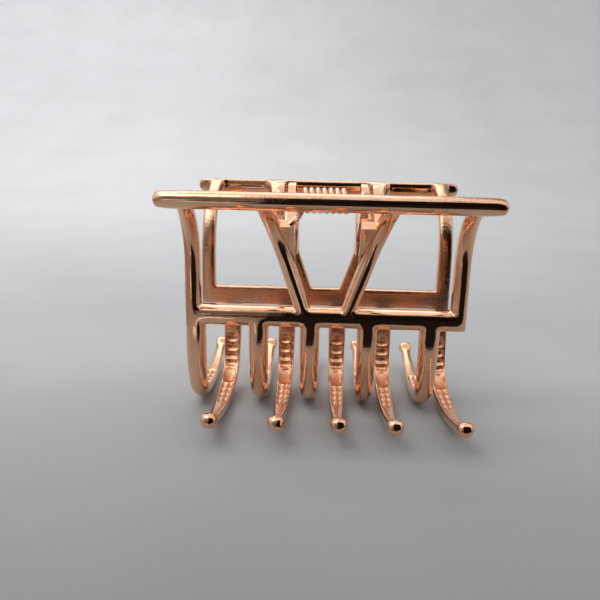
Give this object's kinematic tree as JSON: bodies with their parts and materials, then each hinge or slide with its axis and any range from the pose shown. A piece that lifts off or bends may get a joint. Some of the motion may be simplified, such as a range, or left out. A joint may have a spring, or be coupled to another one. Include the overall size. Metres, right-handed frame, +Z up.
{
  "type": "claw hair clip",
  "caption": "Sprung metal claw hair clip: two identical cast jaws with interlocking curved teeth, hinged on a pin with a torsion spring; squeezing the handle bars opens it.",
  "frame": {"origin": "on the table under the middle of the hinge, with the closed clip standing on its teeth", "axes": "+X along the hinge pin to the right, +Y from the front jaw to the rear jaw, +Z up from the tooth bottoms to the hinge"},
  "size_m": [0.0436, 0.037, 0.0338],
  "materials": {
    "plated_casting": "die-cast zinc alloy, polished and electroplated in mirror-bright rose gold",
    "plated_pin": "steel rivet pin, peened at both ends and plated in rose gold",
    "spring_wire": "hard-drawn spring wire, plated in rose gold, slightly duller than the casting"
  },
  "bodies": {
    "rear": {"rear_jaw": "plated_casting", "hinge_pin": "plated_pin", "torsion_spring": "spring_wire"},
    "front": {"front_jaw": "plated_casting"}
  },
  "joints": [
    {"name": "jaw_hinge", "type": "hinge", "parent": "rear", "child": "front", "pos_m": [0, 0, 0.03125], "axis": [-1, 0, 0], "range_deg": [0, 85], "stiffness_Nm_per_rad": 0.03, "springref_deg": -45.84, "deforming": ["torsion_spring"]}
  ]
}
